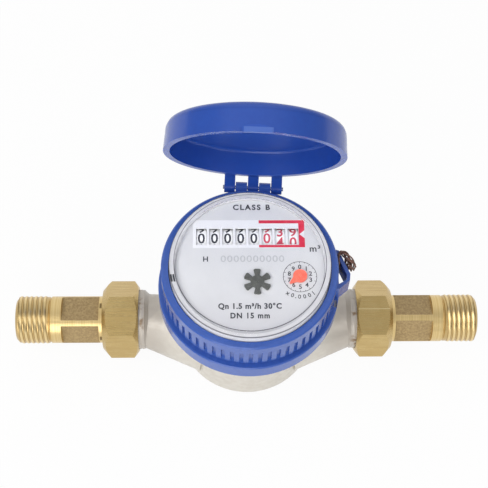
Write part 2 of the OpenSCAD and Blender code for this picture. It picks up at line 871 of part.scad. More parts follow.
// White dial with a window over each drum and two arbor holes
module dial_plate() {
  window_w = band_w + 0.3;
  color([0.93, 0.94, 0.95])
    difference() {
      translate([0, 0, dial_low])
        cylinder(h = dial_t, r = dial_r);
      for (k = [1:drum_count])
        translate([drum_x(k) - window_w / 2, drum_y - window_h / 2, dial_low - 1])
          cube([window_w, window_h, dial_t + 2]);
      for (p = [star_at, pointer_at])
        translate([p.x, p.y, dial_low - 1])
          cylinder(h = dial_t + 2, r = 0.8, $fn = 48);
    }
}

// Six-pointed star that shows that water runs
module star_indicator() {
  arms = 6;
  root_w = 1.9;
  tip_w = 3;
  color([0.37, 0.38, 0.36])
    translate([star_at.x, star_at.y, dial_top + 0.3])
      linear_extrude(height = 0.6)
        difference() {
          union() {
            circle(r = star_r * 0.5);
            for (k = [0:arms - 1])
              rotate(90 + 360 * k / arms)
                polygon([[0, -root_w / 2], [star_r * 0.5, -root_w / 2], [star_r * 0.93, -tip_w / 2],
                         [star_r, -tip_w * 0.3], [star_r, tip_w * 0.3], [star_r * 0.93, tip_w / 2],
                         [star_r * 0.5, root_w / 2], [0, root_w / 2]]);
          }
          circle(r = axle_r + seat, $fn = 48);
        }
}

// Red pointer of the small dial
module flow_pointer() {
  disc_r = 2.9;
  color([0.93, 0.4, 0.32])
    translate([pointer_at.x, pointer_at.y, dial_top + 0.4])
      rotate([0, 0, 218])
        linear_extrude(height = 0.8)
          difference() {
            union() {
              circle(r = disc_r);
              polygon([[0, -disc_r * 0.8], [pointer_len, -0.25], [pointer_len, 0.25], [0, disc_r * 0.8]]);
            }
            circle(r = axle_r + seat, $fn = 48);
          }
}

// Rubber ring under the lens
module lens_gasket() {
  color([0.14, 0.14, 0.14])
    tube(case_r, case_in_r + 0.2, case_top, lens_low);
}

// Clear raised lens with a bevelled edge and a flange under the ring's lip
module lens() {
  roof = lens_top - lens_t;
  color([0.85, 0.92, 0.95, 0.4])
    rotate_extrude()
      polygon([[0, roof], [lens_in_r - lens_bevel + 0.6, roof], [lens_in_r, roof - lens_bevel + 0.6],
               [lens_in_r, lens_low], [lens_flange_r, lens_low], [lens_flange_r, lip_low], [lens_r, lip_low],
               [lens_r, lens_top - lens_bevel * 0.9], [lens_r - lens_bevel, lens_top], [0, lens_top]]);
}

// Blue plastic ring that screws on the body and holds the register
module ring_section() {
  polygon([[lip_r, ring_top], [bezel_r - 0.6, ring_top], [bezel_r, ring_top - 0.6], [bezel_r, band_low],
           [groove_r, band_low], [groove_r, skirt_top], [skirt_r - 0.5, skirt_top],
           [skirt_r, skirt_top - 0.5], [skirt_r, skirt_low], [thread_bore_r, skirt_low],
           [thread_bore_r, thread_top], [ring_bore_r, thread_top], [ring_bore_r, lip_low], [lip_r, lip_low]]);
}

module grip_rib() {
  straight = rib_len - rib_w / 2;
  translate([groove_r - 0.3, -rib_w / 2, band_low - straight])
    cube([bezel_r - groove_r + 0.3, rib_w, straight + 0.3]);
  translate([groove_r - 0.3, 0, band_low - straight])
    rotate([0, 90, 0])
      cylinder(h = bezel_r - groove_r + 0.3, r = rib_w / 2, $fn = 32);
}

// Knuckle of the ring's hinge
module ring_knuckle() {
  block_low = hinge_z - 5;
  block_top = hinge_z + 2.1;
  rotate([90, 0, 90])
    translate([0, 0, -knuckle_w / 2])
      linear_extrude(height = knuckle_w)
        union() {
          translate([hinge_y, hinge_z])
            circle(r = eye_r, $fn = 64);
          polygon([[groove_r - 1.1, block_low], [groove_r + 0.6, block_low], [hinge_y + 1.6, hinge_z - 1.2],
                   [hinge_y + 1.6, block_top - 0.5], [hinge_y + 1.1, block_top],
                   [groove_r - 1.1, block_top]]);
        }
}

// Seal lug, a loop that stands on the skirt
module seal_lug() {
  inner_back = lug_back + [lug_wall - 0.4, -3.4];
  inner_tip = lug_tip + [-lug_wall - 0.2, -0.4];
  inner_nose = lug_nose + [-lug_wall - 0.1, 0.2];
  inner_front = lug_front + [lug_wall - 0.4, lug_wall + 0.9];
  translate([0, 0, lug_low - 1])
    linear_extrude(height = lug_top - lug_low + 1)
      difference() {
        polygon([lug_back, lug_back + [1.2, -0.3], lug_tip, lug_nose, lug_front + [1.2, 0], lug_front]);
        polygon([inner_back, inner_tip, inner_nose, inner_front]);
      }
}

module cover_ring() {
  rib_step = 360 / rib_count;
  hinge_clear = asin((hinge_w / 2 + rib_w) / groove_r);
  lug_span = atan2(lug_back.y + rib_w, groove_r);
  color([0.27, 0.4, 0.71])
    rotate([0, 0, ring_turn])
      difference() {
        union() {
          rotate_extrude()
            ring_section();
          for (k = [0:rib_count - 1])
            if (abs(k * rib_step - 90) > hinge_clear
                && (k * rib_step > lug_span) && (k * rib_step < 360 - lug_span / 2))
              rotate([0, 0, k * rib_step])
                grip_rib();
          for (side = [-1, 1])
            translate([side * hinge_pitch, 0, 0])
              ring_knuckle();
          seal_lug();
        }
        translate([0, 0, skirt_low - 1])
          cylinder(h = thread_top - skirt_low + 1, r = thread_bore_r);
        translate([0, 0, skirt_low])
          cylinder(h = lip_low - skirt_low, r = ring_bore_r);
        translate([-hinge_w, hinge_y, hinge_z])
          rotate([0, 90, 0])
            cylinder(h = 2 * hinge_w, r = pin_r + run_fit / 2, $fn = 48);
        translate([groove_r + 0.2, lug_front.y - 4.6, skirt_low - 1])
          cube([1.5, 3.4, skirt_top - skirt_low + 2]);
      }
}

// Steel hinge pin
module hinge_pin() {
  color([0.62, 0.64, 0.68])
    rotate([0, 0, ring_turn])
      translate([-hinge_w / 2 - 0.6, hinge_y, hinge_z])
        rotate([0, 90, 0])
          cylinder(h = hinge_w + 1.2, r = pin_r, $fn = 48);
}

// Strap that joins the lid to the pin, drawn for the closed lid
module lid_strap() {
  inner_y = bezel_r + 0.8;
  foot_low = lid_low + 0.2;
  rotate([90, 0, 90])
    translate([0, 0, -strap_w / 2])
      linear_extrude(height = strap_w)
        union() {
          translate([hinge_y, hinge_z])
            circle(r = eye_r, $fn = 64);
          polygon([[bezel_r - lid_wall + 0.5, foot_low], [inner_y, foot_low], [inner_y, hinge_z],
                   [hinge_y + eye_r, hinge_z], [hinge_y + eye_r, hinge_z + 2.6], [bezel_r - 0.2, lid_low + 6],
                   [bezel_r - lid_wall + 0.5, lid_low + 6]]);
        }
}

// Blue plastic lid, drawn closed
module closed_lid() {
  roof = lid_top - 1.9;
  notch_w = 12;
  notch_h = 3.4;
  notch_in = 1.2;
  difference() {
    union() {
      rotate_extrude()
        difference() {
          polygon([[0, lid_low], [bezel_r, lid_low], [bezel_r - lid_draft, lid_top], [0, lid_top]]);
          round_corner([bezel_r - lid_draft, lid_top], lid_round);
          difference() {
            polygon([[0, lid_low - eps], [lid_in_r, lid_low - eps], [lid_in_r - lid_draft, roof], [0, roof]]);
            round_corner([lid_in_r - lid_draft, roof], lid_fillet);
          }
        }
      for (x = [-2 * hinge_pitch, 0, 2 * hinge_pitch])
        translate([x, 0, 0])
          lid_strap();
    }
    translate([-hinge_w, hinge_y, hinge_z])
      rotate([0, 90, 0])
        cylinder(h = 2 * hinge_w, r = pin_r + run_fit, $fn = 48);
    translate([-notch_w / 2, notch_in - bezel_r, lid_low])
      rotate([atan(notch_in / notch_h), 0, 0])
        translate([0, -4, -2])
          cube([notch_w, 4, notch_h + 4]);
  }
}

module lid() {
  color([0.22, 0.35, 0.67])
    rotate([0, 0, ring_turn])
      translate([0, hinge_y, hinge_z])
        rotate([-lid_open, 0, 0])
          translate([0, -hinge_y, -hinge_z])
            closed_lid();
}

// A round wire swept along points, one flat ring of sides at each point
function wire_dir(path, i) =
  let (last = len(path) - 1, ahead = path[min(i + 1, last)] - path[max(i - 1, 0)])
  ahead / norm(ahead);
function wire_ring(path, i, r, sides) =
  let (d = wire_dir(path, i), u = cross(d, [0.3, 1, 0.1]), a = u / norm(u), b = cross(d, a))
  [for (k = [0:sides - 1]) path[i] + r * (cos(360 * k / sides) * a + sin(360 * k / sides) * b)];

module swept_wire(path, radii, sides) {
  rings = len(path);
  points = [for (i = [0:rings - 1]) each wire_ring(path, i, radii[i], sides)];
  walls = [for (i = [0:rings - 2]) for (k = [0:sides - 1])
    [i * sides + k, i * sides + (k + 1) % sides, (i + 1) * sides + (k + 1) % sides, (i + 1) * sides + k]];
  start = [for (k = [sides - 1:-1:0]) k];
  end = [for (k = [0:sides - 1]) (rings - 1) * sides + k];
  polyhedron(points, concat(walls, [start, end]), convexity = 4);
}

// Twisted copper seal wire, bent over the back of the seal lug
module seal_wire() {
  over = lug_top + wire_r + 0.1;
  thin = 0.45;
  wire_path = [for (p = [[1.6, 4.8, lug_top - 4], [1.6, 4.9, lug_top + 0.2], [1.7, 6, lug_top + 0.8],
                         [2.6, 9.8, over], [4.2, 9.9, over], [5.8, 8.6, over - 0.7],
                         [6.9, 6.8, over - 1.8], [7.8, 4.6, over - 3.2]]) p + [bezel_r, 0, 0]];
  wire_radii = [thin, thin, thin, wire_r, wire_r, wire_r, wire_r, wire_r * 0.8];
  color([0.45, 0.36, 0.32])
    swept_wire(wire_path, wire_radii, 10);
}

meter_body();
strainer();
inlet_gasket();
outlet_gasket();
inlet_tailpiece();
outlet_tailpiece();
inlet_nut();
outlet_nut();
impeller_pivot();
impeller();
drive_magnet();
chamber_cover();
separator_plate();
separator_seal();
register_case();
driven_magnet();
magnet_arbor();
star_arbor();
idler_arbor();
pointer_arbor();
worm_arbor();
bridge_plate();
drum_frame();
drum_shaft();
carry_shaft();
for (k = [1:drum_count])
  number_drum(k);
for (k = [1:drum_count - 1])
  carry_pinion(k);
dial_plate();
star_indicator();
flow_pointer();
lens_gasket();
lens();
cover_ring();
hinge_pin();
lid();
seal_wire();
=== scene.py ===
import json
import math

import bpy
from mathutils import Matrix, Vector


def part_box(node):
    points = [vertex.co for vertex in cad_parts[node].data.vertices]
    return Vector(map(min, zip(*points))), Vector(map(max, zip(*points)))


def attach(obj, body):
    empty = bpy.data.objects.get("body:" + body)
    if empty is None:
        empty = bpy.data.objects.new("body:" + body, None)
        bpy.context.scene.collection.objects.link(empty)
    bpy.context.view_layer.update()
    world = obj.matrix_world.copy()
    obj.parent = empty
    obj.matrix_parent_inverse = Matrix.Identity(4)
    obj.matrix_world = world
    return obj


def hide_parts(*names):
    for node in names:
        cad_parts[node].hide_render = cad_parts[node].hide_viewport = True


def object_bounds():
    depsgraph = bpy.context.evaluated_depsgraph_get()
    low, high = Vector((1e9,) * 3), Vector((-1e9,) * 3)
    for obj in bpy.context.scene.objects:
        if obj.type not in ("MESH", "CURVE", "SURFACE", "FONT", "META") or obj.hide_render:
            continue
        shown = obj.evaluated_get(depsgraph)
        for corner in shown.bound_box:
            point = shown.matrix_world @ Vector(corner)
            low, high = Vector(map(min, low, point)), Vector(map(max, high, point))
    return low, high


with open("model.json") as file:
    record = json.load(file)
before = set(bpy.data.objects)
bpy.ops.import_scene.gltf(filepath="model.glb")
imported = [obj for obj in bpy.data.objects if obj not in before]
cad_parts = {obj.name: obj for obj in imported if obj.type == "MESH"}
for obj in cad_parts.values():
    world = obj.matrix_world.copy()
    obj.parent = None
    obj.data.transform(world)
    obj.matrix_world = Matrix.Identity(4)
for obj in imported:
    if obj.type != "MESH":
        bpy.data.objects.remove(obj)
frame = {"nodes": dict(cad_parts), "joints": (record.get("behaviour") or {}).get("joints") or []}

nodes = frame["nodes"]
cad_low, cad_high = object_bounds()
MM = 0.001


# Cast body
# A brass bowl with two arms, sand cast and then sprayed with a pale silver lacquer.
# The lacquer is thin, so the grain of the sand shows through and dirt stays in it.

AXIS_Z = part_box("inlet_nut")[0].z / 2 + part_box("inlet_nut")[1].z / 2
ARM_DARK_FROM, ARM_DARK_FULL = 30 * MM, 42 * MM
STAIN_FROM, STAIN_FULL = 44.5 * MM, 48 * MM
BLOT_SCALE = 210


def screen_colour(red, green, blue):
    """A colour read off a screen, 0 to 255 each, in linear light."""
    channels = []
    for level in (red / 255, green / 255, blue / 255):
        channels.append(level / 12.92 if level <= 0.04045 else ((level + 0.055) / 1.055) ** 2.4)
    return (*channels, 1)


def new_finish(name, colour, metallic, roughness):
    """A material with a Principled shader at plain values, from a screen colour."""
    finish = bpy.data.materials.new(name)
    finish.use_nodes = True
    shader = finish.node_tree.nodes["Principled BSDF"]
    shader.inputs["Base Color"].default_value = screen_colour(*colour)
    shader.inputs["Metallic"].default_value = metallic
    shader.inputs["Roughness"].default_value = roughness
    return finish


def inside(finish):
    """A material's node tree and the inputs of its Principled shader."""
    tree = finish.node_tree
    return tree, tree.nodes["Principled BSDF"].inputs


def new_effect(name, inputs, outputs):
    """An empty node group with float inputs at their usual values and float outputs."""
    effect = bpy.data.node_groups.new(name, "ShaderNodeTree")
    for label, value in inputs:
        socket = effect.interface.new_socket(label, in_out="INPUT", socket_type="NodeSocketFloat")
        socket.default_value = value
    for label in outputs:
        effect.interface.new_socket(label, in_out="OUTPUT", socket_type="NodeSocketFloat")
    entry = effect.nodes.new("NodeGroupInput")
    leave = effect.nodes.new("NodeGroupOutput")
    return effect, entry, leave


def add_effect(tree, effect, **values):
    """Places a node group in a material with its own values."""
    node = tree.nodes.new("ShaderNodeGroup")
    node.node_tree = effect
    for label, value in values.items():
        node.inputs[label].default_value = value
    return node.outputs


def on_piece(tree):
    """Socket for a point's place on its piece."""
    return tree.nodes.new("ShaderNodeTexCoord").outputs["Object"]


def add_noise(tree, vector, scale, detail):
    """A noise texture; the scale is a number or a socket."""
    noise = tree.nodes.new("ShaderNodeTexNoise")
    noise.inputs["Detail"].default_value = detail
    noise.inputs["Roughness"].default_value = 0.6
    tree.links.new(vector, noise.inputs["Vector"])
    if isinstance(scale, bpy.types.NodeSocket):
        tree.links.new(scale, noise.inputs["Scale"])
    else:
        noise.inputs["Scale"].default_value = scale
    return noise.outputs["Fac"]


def ranged(tree, value, from_low, from_high, to_low=0.0, to_high=1.0):
    """Carries a value socket from one range to another and holds it at the ends."""
    ramp = tree.nodes.new("ShaderNodeMapRange")
    ramp.interpolation_type = "SMOOTHSTEP"
    tree.links.new(value, ramp.inputs["Value"])
    ramp.inputs["From Min"].default_value = from_low
    ramp.inputs["From Max"].default_value = from_high
    ramp.inputs["To Min"].default_value = to_low
    ramp.inputs["To Max"].default_value = to_high
    return ramp.outputs["Result"]


def figured(tree, operation, first, second):
    """A math node on sockets or numbers."""
    step = tree.nodes.new("ShaderNodeMath")
    step.operation = operation
    for place, value in enumerate((first, second)):
        if isinstance(value, bpy.types.NodeSocket):
            tree.links.new(value, step.inputs[place])
        else:
            step.inputs[place].default_value = value
    return step.outputs["Value"]


def overlap(tree, *masks):
    """A mask that is on where all the given masks are on."""
    whole = masks[0]
    for mask in masks[1:]:
        whole = figured(tree, "MULTIPLY", whole, mask)
    return whole


def between(tree, value, low, high, fade):
    """A mask that is on from a low to a high value and fades inside its ends."""
    rise = ranged(tree, value, low, low + fade)
    fall = ranged(tree, value, high - fade, high, 1, 0)
    return overlap(tree, rise, fall)


def off(tree, value, middle=0):
    """How far a value socket lies from a middle value."""
    return figured(tree, "ABSOLUTE", figured(tree, "SUBTRACT", value, middle), 0)


def blended(tree, mask, first, second):
    """A colour between two screen colours or colour sockets, by a mask."""
    mix = tree.nodes.new("ShaderNodeMix")
    mix.data_type = "RGBA"
    tree.links.new(mask, mix.inputs[0])
    for place, colour in ((6, first), (7, second)):
        if isinstance(colour, bpy.types.NodeSocket):
            tree.links.new(colour, mix.inputs[place])
        else:
            mix.inputs[place].default_value = screen_colour(*colour)
    return mix.outputs[2]


def raised(tree, height, distance):
    """Bump from a height socket, linked to the shader's normal."""
    bump = tree.nodes.new("ShaderNodeBump")
    bump.inputs["Distance"].default_value = distance
    bump.inputs["Strength"].default_value = 1
    tree.links.new(height, bump.inputs["Height"])
    tree.links.new(bump.outputs["Normal"], tree.nodes["Principled BSDF"].inputs["Normal"])


# Grain: a cloudy mask for colour and a finer height for bumps
grain_effect, entry, leave = new_effect("grain", [("Scale", 300)], ["Cloud", "Height"])
point_place = on_piece(grain_effect)
cloud = add_noise(grain_effect, point_place, entry.outputs["Scale"], 5)
fine_scale = figured(grain_effect, "MULTIPLY", entry.outputs["Scale"], 3.7)
fine = add_noise(grain_effect, point_place, fine_scale, 3)
grain_effect.links.new(ranged(grain_effect, cloud, 0.3, 0.7), leave.inputs["Cloud"])
grain_effect.links.new(fine, leave.inputs["Height"])


def grained(name, colour, second, metallic, roughness, scale, depth):
    """A finish that wanders between two screen colours, with grain of a depth in metres."""
    finish = new_finish(name, colour, metallic, roughness)
    tree, inputs = inside(finish)
    grain = add_effect(tree, grain_effect, Scale=scale)
    tree.links.new(blended(tree, grain["Cloud"], colour, second), inputs["Base Color"])
    sheen = ranged(tree, grain["Cloud"], 0, 1, roughness * 0.85, roughness * 1.2)
    tree.links.new(sheen, inputs["Roughness"])
    raised(tree, grain["Height"], depth)
    return finish


def dress(finish, *names):
    """Gives CAD nodes a finish."""
    for name in names:
        for socket in nodes[name].material_slots:
            socket.material = finish


def piece_places(tree, location=(0, 0, 0), rotation=(0, 0, 0)):
    """Sockets for a point's X, Y and Z on its piece, seen from a moved and turned origin."""
    seen = tree.nodes.new("ShaderNodeMapping")
    seen.vector_type = "TEXTURE"
    seen.inputs["Location"].default_value = location
    seen.inputs["Rotation"].default_value = rotation
    tree.links.new(on_piece(tree), seen.inputs["Vector"])
    split = tree.nodes.new("ShaderNodeSeparateXYZ")
    tree.links.new(seen.outputs["Vector"], split.inputs["Vector"])
    return split.outputs


def out_from_axis(tree, first, second):
    """Distance from an axis, from the two value sockets across it."""
    squares = [figured(tree, "MULTIPLY", value, value) for value in (first, second)]
    return figured(tree, "SQRT", figured(tree, "ADD", *squares), 0)


def pipe_places(tree):
    """Sockets for the distance along the pipe from the middle and out from the pipe axis."""
    place = piece_places(tree, (0, 0, AXIS_Z))
    return off(tree, place["X"]), out_from_axis(tree, place["Y"], place["Z"])


silver_lacquer = grained("silver_lacquer", (214, 209, 199), (207, 201, 190),
                         metallic=0.25, roughness=0.36, scale=330, depth=0.05 * MM)
tree, inputs = inside(silver_lacquer)
along = pipe_places(tree)[0]
sprayed = inputs["Base Color"].links[0].from_socket
# The lacquer is drawn darker along the arms towards the nuts.
toward_nuts = ranged(tree, along, ARM_DARK_FROM, ARM_DARK_FULL, 0, 0.8)
darkened = blended(tree, toward_nuts, sprayed, (184, 176, 166))
blots = ranged(tree, add_noise(tree, on_piece(tree), BLOT_SCALE, 3), 0.5, 0.66)
near_nut = ranged(tree, along, STAIN_FROM, STAIN_FULL)
stained = blended(tree, overlap(tree, near_nut, blots), darkened, (128, 98, 62))
tree.links.new(stained, inputs["Base Color"])
dress(silver_lacquer, "meter_body")

RIDGE_SHARE = 0.47
RIDGE_STEPS = 96
RIDGE_SINK = 0.05 * MM
RIDGE_RISE = 0.2 * MM
SMOOTH_ANGLE = math.radians(40)


def thread_ridge(name, root_r, crest_r, start_x, pitch, turns):
    """One helical ridge round the pipe axis, swept from its underside and capped at its ends."""
    bpy.ops.object.select_all(action="DESELECT")
    bpy.ops.mesh.primitive_circle_add(vertices=3, radius=1)
    ridge = bpy.context.object
    ridge.name = name
    half = RIDGE_SHARE * pitch
    outline = ((start_x, crest_r), (start_x - half, root_r), (start_x + half, root_r))
    for point, (x, out) in zip(ridge.data.vertices, outline):
        point.co = (x, 0, -out)
    sweep = ridge.modifiers.new("sweep", "SCREW")
    sweep.axis = "X"
    sweep.screw_offset = pitch
    sweep.iterations = turns
    sweep.steps = RIDGE_STEPS
    sweep.render_steps = RIDGE_STEPS
    bpy.ops.object.modifier_apply(modifier="sweep")
    bpy.ops.object.mode_set(mode="EDIT")
    bpy.ops.mesh.select_all(action="SELECT")
    bpy.ops.mesh.fill_holes(sides=3)
    bpy.ops.mesh.normals_make_consistent(inside=False)
    bpy.ops.object.mode_set(mode="OBJECT")
    bpy.ops.object.shade_smooth_by_angle(angle=SMOOTH_ANGLE)
    ridge.location.z = AXIS_Z
    bpy.ops.object.transform_apply(location=True, rotation=False, scale=False)
    return ridge


SPUD_R = 13.2 * MM
SPUD_PITCH = 1.814 * MM
SPUD_TURNS = 4
SPUD_THREAD_START = 46.2 * MM
for side, name in ((-1, "spud_thread_inlet"), (1, "spud_thread_outlet")):
    first_x = SPUD_THREAD_START if side > 0 else -SPUD_THREAD_START - SPUD_TURNS * SPUD_PITCH
    root_r, crest_r = SPUD_R - RIDGE_SINK, SPUD_R + RIDGE_RISE
    ridge = thread_ridge(name, root_r, crest_r, first_x, SPUD_PITCH, SPUD_TURNS)
    ridge.data.materials.append(silver_lacquer)
    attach(ridge, "meter")


# Strainer and gaskets
# A white moulded basket catches grit in the inlet. A flat black rubber washer seals each tail
# against its spud and is squeezed by the nut.

strainer_white = grained("strainer_white", (226, 226, 220), (208, 207, 198),
                         metallic=0, roughness=0.42, scale=400, depth=0.02 * MM)
dress(strainer_white, "strainer")
washer_rubber = grained("washer_rubber", (38, 37, 36), (56, 54, 52),
                        metallic=0, roughness=0.68, scale=700, depth=0.03 * MM)
dress(washer_rubber, "inlet_gasket", "outlet_gasket")


# Tailpieces
# Brass tails, cast with a rough square for a wrench and then turned and threaded.
# The lathe left them bright; the cast faces stay brown and sandy.

TAIL_R = 10.48 * MM
TAIL_ROOT_R = 10.28 * MM
TAIL_THREAD_START = 88.1 * MM
TAIL_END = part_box("outlet_tailpiece")[1].x
TAIL_TURNS = 6
TAIL_PITCH = (TAIL_END - TAIL_THREAD_START) / (TAIL_TURNS + 1)
FLAT_HALF = 8.35 * MM
FLAT_NEAR, FLAT_FULL = FLAT_HALF - 0.12 * MM, FLAT_HALF - 0.05 * MM
FLAT_START, FLAT_END = 66.1 * MM, 82.8 * MM
FLAT_FADE = 0.3 * MM
SPOT_START, SPOT_END = 64.7 * MM, 65.9 * MM
SPOT_FADE = 0.2 * MM
SPOT_HALF = 1.7 * MM
TURNED_ROUGHNESS, CAST_ROUGHNESS = 0.3, 0.62
CAST_METALLIC = 0.35
LINE_HEIGHT = 0.05
SAND_DEPTH = 0.18 * MM


# Turned lines: fine rings round the pipe axis, left by the lathe
turned_effect, entry, leave = new_effect("turned_lines", [("Scale", 4000)], ["Lines"])
along, out = pipe_places(turned_effect)
ring_place = turned_effect.nodes.new("ShaderNodeCombineXYZ")
turned_effect.links.new(along, ring_place.inputs["X"])
turned_effect.links.new(out, ring_place.inputs["Y"])
rings = add_noise(turned_effect, ring_place.outputs["Vector"], entry.outputs["Scale"], 2)
turned_effect.links.new(rings, leave.inputs["Lines"])


def tail_finish(name, flat_turn, spot_strength):
    """Turned brass with dark spots by the nut, and cast brass on wrench flats turned in degrees."""
    turned = (228, 203, 148)
    finish = new_finish(name, turned, 1, TURNED_ROUGHNESS)
    tree, inputs = inside(finish)
    along = pipe_places(tree)[0]
    place = piece_places(tree, (0, 0, AXIS_Z), (math.radians(flat_turn), 0, 0))
    beside = off(tree, place["Y"])
    over = off(tree, place["Z"])
    on_flat = ranged(tree, figured(tree, "MAXIMUM", beside, over), FLAT_NEAR, FLAT_FULL)
    cast = overlap(tree, between(tree, along, FLAT_START, FLAT_END, FLAT_FADE), on_flat)
    grain = add_effect(tree, grain_effect, Scale=1100)
    lines = add_effect(tree, turned_effect, Scale=3500)["Lines"]
    # Between the thread ridges the turned brass is painted darker, as shade in the grooves.
    in_thread = ranged(tree, along, TAIL_THREAD_START - 0.3 * MM, TAIL_THREAD_START + 0.1 * MM)
    bright = blended(tree, ranged(tree, lines, 0.35, 0.65), turned, (212, 184, 126))
    groove_shade = blended(tree, in_thread, bright, (202, 174, 120))
    rough = blended(tree, grain["Cloud"], (188, 163, 116), (156, 131, 90))
    off_middle = figured(tree, "MINIMUM", beside, over)
    # A dark spot is drawn on the middle of each flat next to the nut.
    mid_flat = ranged(tree, off_middle, SPOT_HALF * 0.6, SPOT_HALF, spot_strength, 0)
    dark_spot = overlap(tree, mid_flat, between(tree, along, SPOT_START, SPOT_END, SPOT_FADE))
    spotted = blended(tree, dark_spot, groove_shade, (84, 62, 34))
    tree.links.new(blended(tree, cast, spotted, rough), inputs["Base Color"])
    sheen = ranged(tree, cast, 0, 1, TURNED_ROUGHNESS, CAST_ROUGHNESS)
    tree.links.new(sheen, inputs["Roughness"])
    tree.links.new(ranged(tree, cast, 0, 1, 1, CAST_METALLIC), inputs["Metallic"])
    sand = figured(tree, "MULTIPLY", grain["Height"], cast)
    marks = figured(tree, "MULTIPLY", lines, ranged(tree, cast, 0, 1, LINE_HEIGHT, 0))
    raised(tree, figured(tree, "ADD", sand, marks), SAND_DEPTH)
    return finish


dress(tail_finish("inlet_tail_brass", flat_turn=-11.4, spot_strength=0.8), "inlet_tailpiece")
dress(tail_finish("outlet_tail_brass", flat_turn=-21.5, spot_strength=0), "outlet_tailpiece")

GROOVE_R, CREST_R = TAIL_ROOT_R + 0.02 * MM, TAIL_R + 0.08 * MM
thread_brass = new_finish("thread_brass", (236, 212, 158), 1, 0.34)
tree, inputs = inside(thread_brass)
# The ridges are painted dark at the root as shade and light at the crest as highlight.
crest = ranged(tree, pipe_places(tree)[1], GROOVE_R, CREST_R)
cloud = add_effect(tree, grain_effect, Scale=300)["Cloud"]
crest_highlight = blended(tree, cloud, (240, 216, 162), (230, 204, 148))
tree.links.new(blended(tree, crest, (166, 134, 82), crest_highlight), inputs["Base Color"])
for side, name in ((-1, "inlet_thread_ridge"), (1, "outlet_thread_ridge")):
    first_x = (TAIL_THREAD_START if side > 0 else -TAIL_END) + 0.5 * TAIL_PITCH
    root_r, crest_r = TAIL_ROOT_R - RIDGE_SINK, TAIL_R + RIDGE_RISE
    ridge = thread_ridge(name, root_r, crest_r, first_x, TAIL_PITCH, TAIL_TURNS)
    ridge.data.materials.append(thread_brass)
    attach(ridge, "meter")


# Union nuts
# Brass hexagons with turned ends, pressed hot and then milled on the faces and turned.
# The tool left fine lines along the faces and a polish on the chamfers. The outlet nut keeps
# the seam of its die.

SEAM_TURN = math.radians(8.3)
SEAM_HALF = 0.12 * MM
SEAM_LOW, SEAM_FULL = 14.6 * MM, 14.8 * MM
LINE_SCALE = (60, 1500, 1500)
nut_colour = (205, 180, 125)
nut_brass = new_finish("nut_brass", nut_colour, 1, 0.3)
tree, inputs = inside(nut_brass)
grain = add_effect(tree, grain_effect, Scale=140)
drawn_out = tree.nodes.new("ShaderNodeMapping")
drawn_out.inputs["Scale"].default_value = LINE_SCALE
tree.links.new(on_piece(tree), drawn_out.inputs["Vector"])
lines = add_noise(tree, drawn_out.outputs["Vector"], 1, 3)
stained = blended(tree, grain["Cloud"], nut_colour, (198, 171, 114))
drawn = blended(tree, ranged(tree, lines, 0.4, 0.7), stained, (192, 165, 110))
place = piece_places(tree, (0, 0, AXIS_Z), (SEAM_TURN, 0, 0))
on_seam = ranged(tree, off(tree, place["Y"]), SEAM_HALF * 0.5, SEAM_HALF * 1.5, 1, 0)
on_face = ranged(tree, place["Z"], SEAM_LOW, SEAM_FULL)
at_outlet = ranged(tree, place["X"], 0, 1 * MM)
seam = overlap(tree, on_seam, on_face, at_outlet)
tree.links.new(blended(tree, seam, drawn, (240, 220, 170)), inputs["Base Color"])
tree.links.new(ranged(tree, lines, 0.3, 0.7, 0.24, 0.36), inputs["Roughness"])
raised(tree, lines, 0.02 * MM)
dress(nut_brass, "inlet_nut", "outlet_nut")


# Measuring chamber
# The impeller turns on a steel pin in the wet part, under a moulded cover. A plate with a
# rubber ring shuts the water off from the register, and two magnets work through it.

pin_steel = grained("pin_steel", (196, 198, 200), (170, 172, 176),
                    metallic=1, roughness=0.22, scale=900, depth=0.01 * MM)
dress(pin_steel, "impeller_pivot", "hinge_pin", "drum_shaft", "carry_shaft")
impeller_plastic = grained("impeller_plastic", (222, 222, 214), (206, 206, 196),
                           metallic=0, roughness=0.38, scale=350, depth=0.02 * MM)
dress(impeller_plastic, "impeller")
ferrite = grained("ferrite", (62, 60, 60), (44, 43, 44),
                  metallic=0.2, roughness=0.5, scale=900, depth=0.03 * MM)
dress(ferrite, "drive_magnet", "driven_magnet")
cover_plastic = grained("cover_plastic", (204, 203, 196), (188, 186, 178),
                        metallic=0, roughness=0.42, scale=300, depth=0.02 * MM)
dress(cover_plastic, "chamber_cover")
plate_brass = grained("plate_brass", (208, 182, 122), (184, 156, 98),
                      metallic=1, roughness=0.3, scale=300, depth=0.02 * MM)
dress(plate_brass, "separator_plate")
ring_rubber = grained("ring_rubber", (32, 32, 32), (48, 47, 46),
                      metallic=0, roughness=0.6, scale=700, depth=0.02 * MM)
dress(ring_rubber, "separator_seal")


# Register and gear train
# A sealed can holds the arbors, the worm and the bridge. Case and bridge are white plastic,
# and the gears are moulded in a slightly yellower plastic that runs without oil.

case_plastic = grained("case_plastic", (228, 229, 228), (212, 213, 212),
                       metallic=0, roughness=0.4, scale=250, depth=0.02 * MM)
dress(case_plastic, "register_case", "bridge_plate", "drum_frame")
gear_plastic = grained("gear_plastic", (232, 228, 212), (220, 214, 194),
                       metallic=0, roughness=0.36, scale=500, depth=0.01 * MM)
dress(gear_plastic, "magnet_arbor", "star_arbor", "idler_arbor", "pointer_arbor", "worm_arbor")
dress(gear_plastic, *[f"carry_pinion_{k}" for k in range(1, 8)])


# Number drums
# Eight white drums on one shaft, each with ten printed figures. The lower three count parts
# of a cubic metre in red, and the upper five count whole ones in black.

